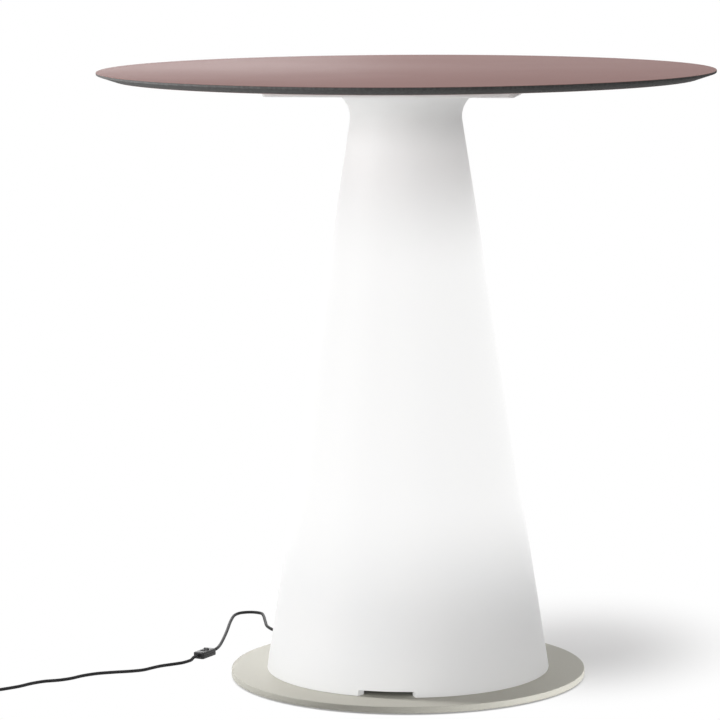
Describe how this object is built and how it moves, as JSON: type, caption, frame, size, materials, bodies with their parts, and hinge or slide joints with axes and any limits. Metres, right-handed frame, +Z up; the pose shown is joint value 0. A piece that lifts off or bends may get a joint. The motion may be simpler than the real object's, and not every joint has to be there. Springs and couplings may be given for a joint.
{
  "type": "cafe table with internal light",
  "caption": "Round cafe table on a tapered opal column that glows from inside, with a flat round base and a low-voltage lead with an in-line rocker switch.",
  "frame": {"origin": "on the floor, under the middle of the column", "axes": "+Z up, -Y towards the front notch in the foot of the column, +Y towards the notch that the lead leaves by"},
  "size_m": [1.0083, 0.75, 0.748],
  "materials": {
    "laminate": "matt compact laminate, mauve brown",
    "base_paint": "satin powder coat, pale sand",
    "opal_shell": "satin translucent polyethylene, lit from inside",
    "post_aluminium": "mill finish",
    "diffuser": "opal, frosted",
    "white_plastic": "moulded",
    "board": "white solder mask",
    "insert_brass": "turned",
    "zinc": "zinc plated",
    "pin_nickel": "nickel plated",
    "felt": "pressed felt",
    "sheath": "soft satin sheath",
    "tie": "woven hook band",
    "black_plastic": "fine spark-eroded texture"
  },
  "bodies": {
    "table": {"adapter_body": "black_plastic", "adapter_face": "black_plastic", "adapter_pin_1": "pin_nickel", "adapter_pin_2": "pin_nickel", "base_disc": "base_paint", "base_screw_1": "zinc", "base_screw_2": "zinc", "base_screw_3": "zinc", "base_screw_4": "zinc", "clamp_screw_1": "zinc", "clamp_screw_2": "zinc", "coil_tie": "tie", "column_insert_1": "insert_brass", "column_insert_2": "insert_brass", "column_insert_3": "insert_brass", "column_insert_4": "insert_brass", "column_shell": "opal_shell", "cord_clamp": "zinc", "cord_coil": "sheath", "cord_lead": "sheath", "cord_tail": "sheath", "diffuser_cap": "white_plastic", "diffuser_tube": "diffuser", "floor_pad_1": "felt", "floor_pad_2": "felt", "floor_pad_3": "felt", "floor_pad_4": "felt", "inner_cord": "sheath", "lamp_bar_front": "post_aluminium", "lamp_bar_left": "post_aluminium", "lamp_bar_rear": "post_aluminium", "lamp_bar_right": "post_aluminium", "lamp_foot": "base_paint", "lamp_foot_screw_1": "zinc", "lamp_foot_screw_2": "zinc", "led_board_1": "board", "led_board_2": "board", "led_board_3": "board", "led_board_4": "board", "strain_relief": "sheath", "switch_base": "black_plastic", "switch_cover": "black_plastic", "switch_screw": "zinc", "tabletop": "laminate", "tabletop_insert_1": "insert_brass", "tabletop_insert_2": "insert_brass", "tabletop_insert_3": "insert_brass", "tabletop_insert_4": "insert_brass", "tabletop_screw_1": "zinc", "tabletop_screw_2": "zinc", "tabletop_screw_3": "zinc", "tabletop_screw_4": "zinc", "tabletop_washer_1": "zinc", "tabletop_washer_2": "zinc", "tabletop_washer_3": "zinc", "tabletop_washer_4": "zinc", "top_plate": "base_paint", "tube_collar_1": "white_plastic", "tube_collar_2": "white_plastic"},
    "rocker": {"switch_rocker": "black_plastic"}
  },
  "joints": [
    {"name": "rocker_tilt", "type": "hinge", "parent": "table", "child": "rocker", "pos_m": [-0.2699, 0.0609, 0.0066], "axis": [-0.9426, 0.3338, 0], "range_deg": [0, 18]}
  ]
}
